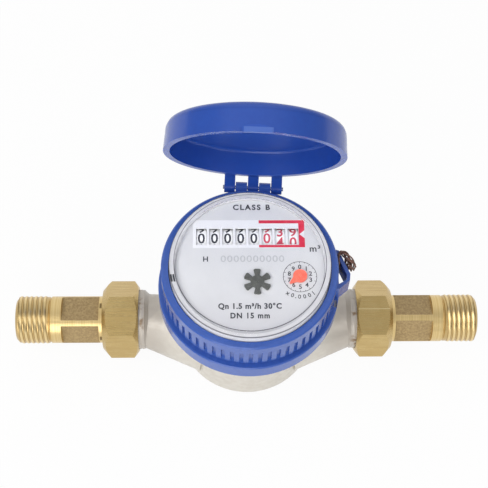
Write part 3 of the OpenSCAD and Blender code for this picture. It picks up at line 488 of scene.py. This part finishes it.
READINGS = (9.5, 3.5, -0.1, -0.1, -0.1, -0.1, -0.1, -0.1)
RED_DRUMS = 3
DRUM_R = 8.0 * MM
DRUM_Y = 14.0 * MM
DRUM_Z = 62.3 * MM
FIGURE_W = 3.5 * MM
FIGURE_H = 4.75 * MM
FIGURE_TURN = math.radians(36)
FONT_FIGURE_W = 0.56
PRINT_RISE = 0.03 * MM
# The drums are painted whiter than the dial, as light that makes up for the shade in their windows.
drum_white = grained("drum_white", (248, 248, 248), (242, 243, 244),
                     metallic=0, roughness=0.45, scale=400, depth=0.01 * MM)
figure_black = grained("figure_black", (34, 36, 46), (52, 54, 64),
                       metallic=0, roughness=0.5, scale=1500, depth=0.01 * MM)
figure_red = grained("figure_red", (196, 62, 84), (206, 84, 102),
                     metallic=0, roughness=0.5, scale=1500, depth=0.01 * MM)


def joint_of(child):
    """The joint that carries a body."""
    return next(joint for joint in frame["joints"] if joint["child"] == child)


def lettering(words, weight, spacing=1.0):
    """Flat letters as a mesh, centred at the origin, at one unit of size."""
    bpy.ops.object.select_all(action="DESELECT")
    bpy.ops.object.text_add()
    text = bpy.context.object
    text.data.body = words
    text.data.align_x = "CENTER"
    text.data.align_y = "CENTER"
    text.data.resolution_u = 3
    text.data.offset = weight
    text.data.space_character = spacing
    bpy.ops.object.convert(target="MESH")
    return bpy.context.object


def joined(pieces, name):
    """Several mesh objects as one."""
    bpy.ops.object.select_all(action="DESELECT")
    for piece in pieces:
        piece.select_set(True)
    bpy.context.view_layer.objects.active = pieces[0]
    bpy.ops.object.join()
    whole = bpy.context.object
    whole.name = name
    return whole


def span(piece, axis):
    """Lowest and highest place of a piece's points along one axis."""
    places = [point.co[axis] for point in piece.data.vertices]
    return min(places), max(places)


def drum_figures(name, middle_x, reading):
    """Ten figures wrapped round one drum, with the reading on top."""
    figures = []
    out = DRUM_R + PRINT_RISE
    width = FIGURE_W / FONT_FIGURE_W
    for figure in range(10):
        text = lettering(str(figure), 0.016)
        bpy.ops.object.mode_set(mode="EDIT")
        bpy.ops.mesh.select_all(action="SELECT")
        bpy.ops.mesh.subdivide(number_cuts=2)
        bpy.ops.object.mode_set(mode="OBJECT")
        low_x, high_x = span(text, 0)
        low_y, high_y = span(text, 1)
        height = FIGURE_H / (high_y - low_y)
        turn = FIGURE_TURN * (reading - figure)
        for point in text.data.vertices:
            x = (point.co.x - (low_x + high_x) / 2) * width
            angle = turn + (point.co.y - (low_y + high_y) / 2) * height / DRUM_R
            point.co = (middle_x + x, DRUM_Y + out * math.sin(angle), DRUM_Z + out * math.cos(angle))
        figures.append(text)
    return joined(figures, name)


for k, reading in enumerate(READINGS, start=1):
    drum = f"number_drum_{k}"
    dress(drum_white, drum)
    figures = drum_figures(f"drum_figures_{k}", joint_of(drum)["pos_m"][0], reading)
    figures.data.materials.append(figure_red if k <= RED_DRUMS else figure_black)
    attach(figures, drum)


# Dial
# A white plastic plate over the drums and gears, with a window for each drum. Its figures,
# the red frame round the parts of a cubic metre and the small scale are printed.

DIAL_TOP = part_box("dial_plate")[1].z
PRINT_Z = DIAL_TOP + PRINT_RISE
FIELD_LEFT, FIELD_RIGHT = -23.95 * MM, 23.25 * MM
FIELD_LOW, FIELD_HIGH = 8.25 * MM, 21.95 * MM
FIELD_FADE = 0.5 * MM
SHADE_FULL, SHADE_NONE = -32 * MM, -4 * MM

dial_colour = (209, 210, 213)
dial_white = new_finish("dial_white", dial_colour, 0, 0.5)
tree, inputs = inside(dial_white)
place = piece_places(tree)
field = overlap(tree, between(tree, place["X"], FIELD_LEFT, FIELD_RIGHT, FIELD_FADE),
                between(tree, place["Y"], FIELD_LOW, FIELD_HIGH, FIELD_FADE))
grain = add_effect(tree, grain_effect, Scale=90)
plate = blended(tree, grain["Cloud"], dial_colour, (205, 206, 209))
toward_front = ranged(tree, place["Y"], SHADE_FULL, SHADE_NONE, 1, 0)
shaded = blended(tree, toward_front, plate, (192, 192, 197))
tree.links.new(blended(tree, field, shaded, (228, 229, 233)), inputs["Base Color"])
raised(tree, grain["Height"], 0.01 * MM)
dress(dial_white, "dial_plate")


def printed(words, x, y, height, width=None, weight=0.02, spacing=1.1):
    """Flat words on the dial, with a cap height and centre in metres."""
    text = lettering(words, weight, spacing)
    low_x, high_x = span(text, 0)
    low_y, high_y = span(text, 1)
    tall = height / (high_y - low_y)
    broad = tall if width is None else width / (high_x - low_x)
    text.scale = (broad, tall, 1)
    text.location = (x - broad * (low_x + high_x) / 2, y - tall * (low_y + high_y) / 2, PRINT_Z)
    bpy.ops.object.transform_apply(location=True, rotation=False, scale=True)
    return text


def flat_shape(name, corners):
    """A flat print with straight edges, from its corners."""
    bpy.ops.object.select_all(action="DESELECT")
    bpy.ops.mesh.primitive_circle_add(vertices=len(corners), radius=1, fill_type="NGON")
    shape = bpy.context.object
    shape.name = name
    for point, (x, y) in zip(shape.data.vertices, corners):
        point.co = (x, y, PRINT_Z)
    bpy.ops.object.mode_set(mode="EDIT")
    bpy.ops.mesh.select_all(action="SELECT")
    bpy.ops.mesh.quads_convert_to_tris(ngon_method="CLIP")
    bpy.ops.mesh.normals_make_consistent(inside=False)
    bpy.ops.object.mode_set(mode="OBJECT")
    if shape.data.polygons[0].normal.z < 0:
        shape.data.flip_normals()
    return shape


def toward(direction):
    """A flat unit vector in a direction in degrees."""
    return Vector((math.cos(math.radians(direction)), math.sin(math.radians(direction))))


def flat_bar(middle, length, width, direction):
    """A printed line about its middle, its length along a direction in degrees."""
    reach = toward(direction) * length / 2
    across = toward(direction + 90) * width / 2
    corners = (-reach - across, reach - across, reach + across, -reach + across)
    return flat_shape("bar", [tuple(middle + corner) for corner in corners])


def flat_ring(x, y, radius, width):
    """A printed circle line."""
    bpy.ops.object.select_all(action="DESELECT")
    bpy.ops.mesh.primitive_circle_add(vertices=96, radius=radius, fill_type="NGON",
                                      location=(x, y, PRINT_Z))
    ring = bpy.context.object
    bpy.ops.object.mode_set(mode="EDIT")
    bpy.ops.mesh.select_all(action="SELECT")
    bpy.ops.mesh.inset(thickness=width)
    bpy.ops.mesh.delete(type="FACE")
    bpy.ops.object.mode_set(mode="OBJECT")
    bpy.ops.object.transform_apply(location=True, rotation=False, scale=False)
    return ring


def put_on_dial(piece, ink):
    """Gives a print its ink and lets it ride with the dial."""
    piece.data.materials.clear()
    piece.data.materials.append(ink)
    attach(piece, "meter")


dial_black = grained("dial_black", (40, 42, 50), (62, 64, 72),
                     metallic=0, roughness=0.5, scale=900, depth=0.01 * MM)
dial_grey = grained("dial_grey", (176, 178, 182), (188, 190, 194),
                    metallic=0, roughness=0.5, scale=900, depth=0.01 * MM)
frame_red = grained("frame_red", (206, 44, 68), (212, 60, 82),
                    metallic=0, roughness=0.45, scale=600, depth=0.01 * MM)

words = [
    printed("CLASS B", x=1.1 * MM, y=27.9 * MM, height=2.7 * MM, width=15.8 * MM,
            weight=0.036, spacing=1.3),
    printed("Qn 1.5 m³/h 30°C", x=-0.3 * MM, y=-18.4 * MM, height=3.2 * MM, width=25.9 * MM,
            weight=0.036),
    printed("DN 15 mm", x=-0.3 * MM, y=-22.5 * MM, height=2.6 * MM, width=16 * MM,
            weight=0.036, spacing=1.2),
    printed("H", x=-18.4 * MM, y=3.3 * MM, height=2.4 * MM, weight=0.024),
    printed("m³", x=27.3 * MM, y=8.1 * MM, height=3 * MM, weight=0.016),
]
put_on_dial(joined(words, "dial_words"), dial_black)
zeros = printed("0000000000", x=1.1 * MM, y=3.4 * MM, height=3.1 * MM, width=26.5 * MM, weight=0.01)
put_on_dial(joined([zeros], "dial_number"), dial_grey)

FRAME_LEFT, FRAME_RIGHT = 4.0 * MM, 23.2 * MM
FRAME_LOW, FRAME_HIGH = 8.7 * MM, 21.6 * MM
FRAME_IN_LOW, FRAME_IN_HIGH = FRAME_LOW + 1.15 * MM, FRAME_HIGH - 1.5 * MM
FRAME_STEM = 20.7 * MM
NOTCH_TIP = FRAME_STEM + 0.3 * MM
NOTCH_Y = 14.9 * MM
NOTCH_HALF = 1.9 * MM
frame_print = flat_shape("red_frame", [
    (FRAME_LEFT, FRAME_HIGH), (FRAME_LEFT, FRAME_IN_HIGH), (FRAME_STEM, FRAME_IN_HIGH),
    (FRAME_STEM, FRAME_IN_LOW), (FRAME_LEFT, FRAME_IN_LOW), (FRAME_LEFT, FRAME_LOW),
    (FRAME_RIGHT, FRAME_LOW), (FRAME_RIGHT, NOTCH_Y - NOTCH_HALF), (NOTCH_TIP, NOTCH_Y),
    (FRAME_RIGHT, NOTCH_Y + NOTCH_HALF), (FRAME_RIGHT, FRAME_HIGH)])
put_on_dial(frame_print, frame_red)

SCALE_MIDDLE = Vector(joint_of("pointer")["pos_m"][:2])
SCALE_R = 7.05 * MM
SCALE_LINE = 0.22 * MM
TICK_W = 0.2 * MM
TICK_LONG, TICK_SHORT = 0.9 * MM, 0.6 * MM
NUMBER_R = 4.6 * MM
NUMBER_H = 2.05 * MM
marks = [flat_ring(SCALE_MIDDLE.x, SCALE_MIDDLE.y, SCALE_R, SCALE_LINE)]
for step in range(20):
    direction = 90 - 18 * step
    length = TICK_LONG if step % 2 == 0 else TICK_SHORT
    tick = SCALE_MIDDLE + toward(direction) * (SCALE_R - length / 2)
    marks.append(flat_bar(tick, length, TICK_W, direction))
    if step % 2 == 0:
        number = SCALE_MIDDLE + toward(direction) * NUMBER_R
        marks.append(printed(str(step // 2), number.x, number.y, NUMBER_H))

RIM_RISE = 2.0 * MM
EDGE_MARKS = (Vector((-32.3, -6.3)) * MM, Vector((-31.2, -6.3)) * MM)
for middle in EDGE_MARKS:
    mark = flat_bar(middle, length=3.4 * MM, width=0.75 * MM, direction=101)
    mark.data.transform(Matrix.Translation((0, 0, RIM_RISE + PRINT_RISE)))
    marks.append(mark)
put_on_dial(joined(marks, "scale_print"), dial_black)

FACTOR_R = 9.1 * MM
FACTOR_H = 1.9 * MM
FACTOR_STEP = 13.2
FACTOR_MIDDLE = 2.65
LOW_LETTERS = {".": 0.5 * MM, "x": 1.4 * MM}
letters = []
for place, letter in ((0, "x"), (1, "0"), (1.7, "."), (2.4, "0"), (3.4, "0"), (4.4, "0"), (5.3, "1")):
    direction = 270 + FACTOR_STEP * (place - FACTOR_MIDDLE)
    tall = LOW_LETTERS.get(letter, FACTOR_H)
    spot = SCALE_MIDDLE + toward(direction) * (FACTOR_R + (FACTOR_H - tall) / 2)
    glyph = printed(letter, 0, 0, tall, weight=0.014)
    lean = Matrix.Rotation(math.radians(direction + 90), 4, "Z")
    glyph.data.transform(Matrix.Translation((spot.x, spot.y, 0)) @ lean)
    letters.append(glyph)
put_on_dial(joined(letters, "factor_print"), dial_black)


# Star and pointer
# A dark star over the middle of the dial shows that water runs, and a red pointer reads the
# small scale. Both are moulded plastic, pressed on the ends of their arbors.

star_colour = (92, 94, 90)
pointer_colour = (250, 122, 100)
star_plastic = grained("star_plastic", star_colour, (78, 80, 76),
                       metallic=0, roughness=0.45, scale=600, depth=0.02 * MM)
dress(star_plastic, "star_indicator")
pointer_red = grained("pointer_red", pointer_colour, (244, 104, 86),
                      metallic=0, roughness=0.4, scale=500, depth=0.01 * MM)
dress(pointer_red, "flow_pointer")
for name, tip_colour in (("star_arbor", star_colour), ("pointer_arbor", pointer_colour)):
    tipped = gear_plastic.copy()
    tipped.name = f"{name}_plastic"
    tree, inputs = inside(tipped)
    above = ranged(tree, piece_places(tree)["Z"], DIAL_TOP, DIAL_TOP + 0.1 * MM)
    moulded = inputs["Base Color"].links[0].from_socket
    tree.links.new(blended(tree, above, moulded, tip_colour), inputs["Base Color"])
    dress(tipped, name)


# Lens
# A raised lens of clear plastic, pressed on its rubber ring by the lip of the cover ring.
# Light falls straight through it on the dial, so its shadow is left clear. Its lower rim is
# a pale band of painted light, and the two edges of its bevel carry painted shade.

LENS_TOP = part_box("lens")[1].z
LENS_R = 33.6 * MM
BEVEL_R = LENS_R - 2.2 * MM
BEVEL_LOW = LENS_TOP - 1.98 * MM
EDGE_HALF = 0.22 * MM


def mix_in(tree, share, other):
    """Mixes another shader socket into a material's own shader, by a share socket."""
    pick = tree.nodes.new("ShaderNodeMixShader")
    tree.links.new(share, pick.inputs["Fac"])
    tree.links.new(tree.nodes["Principled BSDF"].outputs["BSDF"], pick.inputs[1])
    tree.links.new(other, pick.inputs[2])
    tree.links.new(pick.outputs["Shader"], tree.nodes["Material Output"].inputs["Surface"])


clear_white = (255, 255, 255)
lens_clear = new_finish("lens_clear", clear_white, 0, 0.02)
tree, inputs = inside(lens_clear)
inputs["Transmission Weight"].default_value = 1
inputs["IOR"].default_value = 1.08
place = piece_places(tree)
out = out_from_axis(tree, place["X"], place["Y"])
# The two edges of the bevel are painted dark, as shade.
on_top = ranged(tree, place["Z"], LENS_TOP - 0.4 * MM, LENS_TOP - 0.2 * MM)
upper_edge_shade = overlap(tree, ranged(tree, off(tree, out, BEVEL_R), EDGE_HALF * 0.6, EDGE_HALF, 1, 0), on_top)
on_wall = ranged(tree, out, LENS_R - 0.5 * MM, LENS_R - 0.3 * MM)
off_low = off(tree, place["Z"], BEVEL_LOW)
lower_edge_shade = overlap(tree, ranged(tree, off_low, EDGE_HALF, EDGE_HALF * 1.6, 1, 0), on_wall)
edge_shade = figured(tree, "MAXIMUM", upper_edge_shade, lower_edge_shade)
tree.links.new(blended(tree, edge_shade, clear_white, (92, 92, 98)), inputs["Base Color"])
way = tree.nodes.new("ShaderNodeLightPath")
mix_in(tree, way.outputs["Is Shadow Ray"], tree.nodes.new("ShaderNodeBsdfTransparent").outputs["BSDF"])
dress(lens_clear, "lens")
seal_grey = grained("seal_grey", (206, 208, 212), (190, 192, 198),
                    metallic=0, roughness=0.6, scale=500, depth=0.02 * MM)
dress(seal_grey, "lens_gasket")

# A pale opaque band inside the lower wall of the lens, painted light where the clear wall shows light.
RIM_R = 33.5 * MM
RIM_W = 2.2 * MM
RIM_H = 6.75 * MM
lens_rim = flat_ring(0, 0, RIM_R, RIM_W)
lens_rim.name = "lens_rim"
lens_rim.location.z = RIM_RISE
bpy.ops.object.transform_apply(location=True, rotation=False, scale=False)
bpy.ops.object.mode_set(mode="EDIT")
bpy.ops.mesh.select_all(action="SELECT")
bpy.ops.mesh.extrude_region_move(TRANSFORM_OT_translate={"value": (0, 0, -RIM_H)})
bpy.ops.mesh.select_all(action="SELECT")
bpy.ops.mesh.normals_make_consistent(inside=False)
bpy.ops.object.mode_set(mode="OBJECT")
bpy.ops.object.shade_smooth_by_angle(angle=SMOOTH_ANGLE)
rim_frost = grained("rim_frost", (214, 214, 218), (206, 206, 210),
                    metallic=0, roughness=0.5, scale=200, depth=0.01 * MM)
lens_rim.data.materials.clear()
lens_rim.data.materials.append(rim_frost)
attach(lens_rim, "meter")


# Cover ring and lid
# Moulded in one blue plastic. The ring screws on the body's rim and carries the hinge and the
# seal lug; the lid swings on a steel pin and shuts over the lens.

LID_OPEN = math.radians(72.3)
LID_TURN = math.radians(-3.0)
GRIP_SIDE = 5.6 * MM
GRIP_SHIFT = 0.7 * MM
GRIP_FAR = -75.0 * MM
GRIP_UP = 6.3 * MM
GRIP_FADE = 0.1 * MM
# The ring and the lid are lit and shaded copies of the one blue: the ring's is painted lighter and the
# lid's darker.
ring_blue = grained("ring_blue", (60, 95, 176), (56, 90, 171),
                    metallic=0, roughness=0.22, scale=420, depth=0.004 * MM)
dress(ring_blue, "cover_ring")
lid_blue = grained("lid_blue", (40, 79, 169), (38, 76, 166),
                   metallic=0, roughness=0.22, scale=300, depth=0.003 * MM)
tree, inputs = inside(lid_blue)
# A painted highlight lightens the facet of the thumb notch at the front of the lid.
shut = piece_places(tree, joint_of("lid")["pos_m"], (-LID_OPEN, 0, LID_TURN))
aside = off(tree, shut["X"], GRIP_SHIFT)
within = ranged(tree, aside, GRIP_SIDE - GRIP_FADE, GRIP_SIDE + GRIP_FADE, 1, 0)
outside = ranged(tree, shut["Y"], GRIP_FAR - GRIP_FADE, GRIP_FAR + GRIP_FADE, 1, 0)
low_down = ranged(tree, shut["Z"], GRIP_UP - 2 * GRIP_FADE, GRIP_UP + GRIP_FADE, 1, 0)
moulded = inputs["Base Color"].links[0].from_socket
notch_highlight = blended(tree, overlap(tree, within, outside, low_down), moulded, (70, 103, 182))
tree.links.new(notch_highlight, inputs["Base Color"])
dress(lid_blue, "lid")


# Seal wire
# A few strands of copper wire, twisted together through the seal lug and bent down outside it.
# The strands are dull and brown, and their cut ends spread.

STRANDS = 9
STRAND_R = 0.34 * MM
WIRE_PATH = [Vector(p) * MM for p in (
    (38.6, 4.9, 58.0), (38.3, 5.4, 61.4), (38.0, 7.6, 62.7), (38.4, 9.9, 63.2), (39.9, 10.1, 63.1),
    (41.4, 8.7, 62.6), (42.6, 6.6, 61.8), (43.5, 4.5, 60.8), (44.0, 3.2, 60.1))]
BUNDLE_R = [r * MM for r in (0.18, 0.18, 0.25, 0.45, 0.9, 1.4, 1.75, 1.75, 1.55)]
WIRE_STEPS = 8
WIRE_LAST = len(WIRE_PATH) - 1
NEAR_BY = 0.05
SIDE_GUIDE = Vector((0.3, 0.2, 1))
TWIST = 0.16
TWIST_SPREAD = 0.03
CORE_SHARE = 0.45
THIN_UNTIL = 2.5
THIN_SHARE = 0.7


def along_wire(points, place):
    """A point on a smooth curve through a list of vectors or numbers, at a place counted in points."""
    first = min(int(place), len(points) - 2)
    part = place - first
    before = points[max(first - 1, 0)]
    start, end = points[first], points[first + 1]
    after = points[min(first + 2, len(points) - 1)]
    bend = 2 * before - 5 * start + 4 * end - after
    swing = 3 * start - before - 3 * end + after
    return 0.5 * (2 * start + (end - before) * part + bend * part ** 2 + swing * part ** 3)


strands = []
for strand in range(STRANDS):
    curve = bpy.data.curves.new("strand", "CURVE")
    curve.dimensions = "3D"
    curve.bevel_depth = STRAND_R
    curve.bevel_resolution = 1
    curve.use_fill_caps = True
    line = curve.splines.new("POLY")
    count = WIRE_LAST * WIRE_STEPS + 1 - 3 * (strand % 3)
    line.points.add(count - 1)
    for step in range(count):
        place = step / WIRE_STEPS
        middle = along_wire(WIRE_PATH, place)
        ahead = along_wire(WIRE_PATH, min(place + NEAR_BY, WIRE_LAST))
        behind = along_wire(WIRE_PATH, max(place - NEAR_BY, 0))
        forward = (ahead - behind).normalized()
        side = forward.cross(SIDE_GUIDE).normalized()
        up = side.cross(forward)
        turn = 2 * math.pi * (strand / STRANDS + place * (TWIST + TWIST_SPREAD * (strand % 2)))
        offset = along_wire(BUNDLE_R, place) * (CORE_SHARE if strand % 3 == 0 else 1)
        point = middle + (side * math.cos(turn) + up * math.sin(turn)) * offset
        line.points[step].co = (*point, 1)
        line.points[step].radius = THIN_SHARE if place < THIN_UNTIL else 1
    wire = bpy.data.objects.new("strand", curve)
    bpy.context.collection.objects.link(wire)
    bpy.ops.object.select_all(action="DESELECT")
    wire.select_set(True)
    bpy.context.view_layer.objects.active = wire
    bpy.ops.object.convert(target="MESH")
    strands.append(bpy.context.object)
seal_strands = joined(strands, "seal_strands")
bpy.ops.object.shade_smooth()
dull_copper = grained("dull_copper", (96, 82, 70), (146, 106, 94),
                      metallic=0.6, roughness=0.42, scale=700, depth=0.03 * MM)
seal_strands.data.materials.clear()
seal_strands.data.materials.append(dull_copper)
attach(seal_strands, "meter")
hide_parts("seal_wire")


# Studio
# A white floor that keeps a faint shadow, a pale sky that is brightest behind, and three wide
# soft lamps. The camera stands in front, well above the meter, as in the photograph.

FLOOR_SIZE = 8
FLOOR_GAP = 0.2 * MM
FLOOR_GLOW = 0.94
bpy.ops.object.select_all(action="DESELECT")
bpy.ops.mesh.primitive_plane_add(size=FLOOR_SIZE, location=(0, 0, cad_low.z - FLOOR_GAP))
floor = bpy.context.object
floor.name = "floor"
bpy.ops.object.transform_apply(location=True, rotation=False, scale=False)
floor_white = new_finish("floor_white", (237.4, 237.4, 237.4), 0, 0.9)
tree, inputs = inside(floor_white)
way = tree.nodes.new("ShaderNodeLightPath")
seen = figured(tree, "MAXIMUM", way.outputs["Is Camera Ray"], way.outputs["Is Glossy Ray"])
seen = figured(tree, "MAXIMUM", seen, way.outputs["Is Transmission Ray"])
glow = tree.nodes.new("ShaderNodeEmission").outputs["Emission"]
mix_in(tree, figured(tree, "MULTIPLY", seen, FLOOR_GLOW), glow)
floor.data.materials.append(floor_white)

sky = bpy.data.worlds.new("studio_sky")
bpy.context.scene.world = sky
sky.use_nodes = True
tree = sky.node_tree
split = tree.nodes.new("ShaderNodeSeparateXYZ")
tree.links.new(tree.nodes.new("ShaderNodeTexCoord").outputs["Generated"], split.inputs["Vector"])
at_sides = ranged(tree, off(tree, split.outputs["X"]), 0.25, 0.85, 1, 0.4)
toward_back = ranged(tree, split.outputs["Y"], -0.3, 0.8, 0.58, 0.95)
background = tree.nodes["Background"]
strength = figured(tree, "MULTIPLY", at_sides, toward_back)
tree.links.new(strength, background.inputs["Strength"])
background.inputs["Color"].default_value = (1, 1, 1, 1)

LIT_PLACE = Vector((0, 0, 40 * MM))


def soft_lamp(name, place, size, power):
    """A square lamp that points at the middle of the meter."""
    lamp = bpy.data.lights.new(name, "AREA")
    lamp.size = size
    lamp.energy = power
    holder = bpy.data.objects.new(name, lamp)
    bpy.context.collection.objects.link(holder)
    holder.location = place
    holder.rotation_euler = (LIT_PLACE - Vector(place)).to_track_quat("-Z", "Y").to_euler()


soft_lamp("lamp_left", place=(-0.75, -0.35, 0.95), size=0.8, power=5.6)
soft_lamp("lamp_right", place=(0.8, -0.45, 0.8), size=0.7, power=2.4)
soft_lamp("lamp_front", place=(-0.3, -1.15, 0.5), size=0.9, power=5.5)

CAMERA_TARGET = Vector((-1.349, 27.743, 38.0)) * MM
CAMERA_TILT = math.radians(62.267)
CAMERA_TURN = math.radians(3.198)
CAMERA_AWAY = 551.9 * MM
CAMERA_ROLL = math.radians(2.673)
camera = bpy.data.cameras.new("camera")
camera.sensor_width = 36
camera.lens = 90.75
view = bpy.data.objects.new("camera", camera)
bpy.context.collection.objects.link(view)
level = math.cos(CAMERA_TILT)
back = Vector((-level * math.sin(CAMERA_TURN), -level * math.cos(CAMERA_TURN), math.sin(CAMERA_TILT)))
turn = (-back).to_track_quat("-Z", "Y").to_matrix().to_4x4()
roll = Matrix.Rotation(CAMERA_ROLL, 4, "Z")
view.matrix_world = Matrix.Translation(CAMERA_TARGET + back * CAMERA_AWAY) @ turn @ roll
bpy.context.scene.camera = view
bpy.context.scene.view_settings.view_transform = "Standard"
